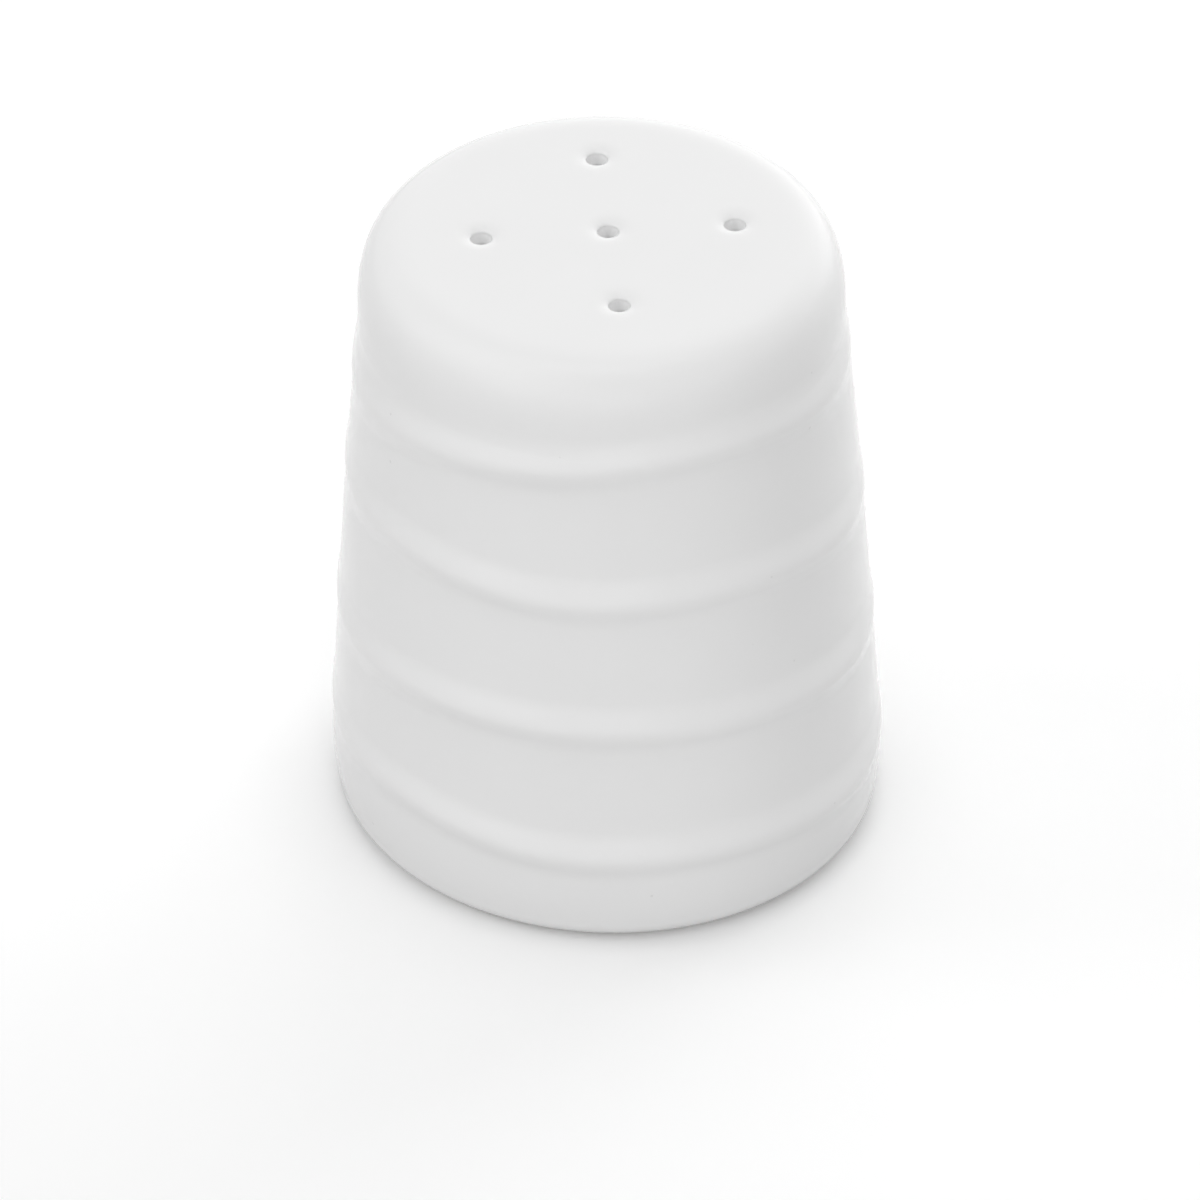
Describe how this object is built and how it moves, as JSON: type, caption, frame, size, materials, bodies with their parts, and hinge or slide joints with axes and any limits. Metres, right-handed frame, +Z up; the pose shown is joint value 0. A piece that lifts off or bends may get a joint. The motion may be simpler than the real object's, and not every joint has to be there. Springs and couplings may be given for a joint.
{
  "type": "salt shaker",
  "caption": "White glazed porcelain salt shaker, tapered with soft ridges, pour holes in the top and a soft plug in the base.",
  "frame": {"origin": "middle of the circle that the shaker stands on, on the table's plane", "axes": "+Z up along the body's axis, -Y towards the viewer, +X to the viewer's right"},
  "size_m": [0.0627, 0.064, 0.075],
  "materials": {
    "glazed_porcelain": "gloss",
    "soft_plug_plastic": "satin"
  },
  "bodies": {
    "shaker": {"ceramic_body": "glazed_porcelain"},
    "plug": {"stopper": "soft_plug_plastic"}
  },
  "joints": [
    {"name": "stopper_pull", "type": "slide", "parent": "shaker", "child": "plug", "axis": [0, 0, -1], "range_m": [0, 0.03]}
  ]
}
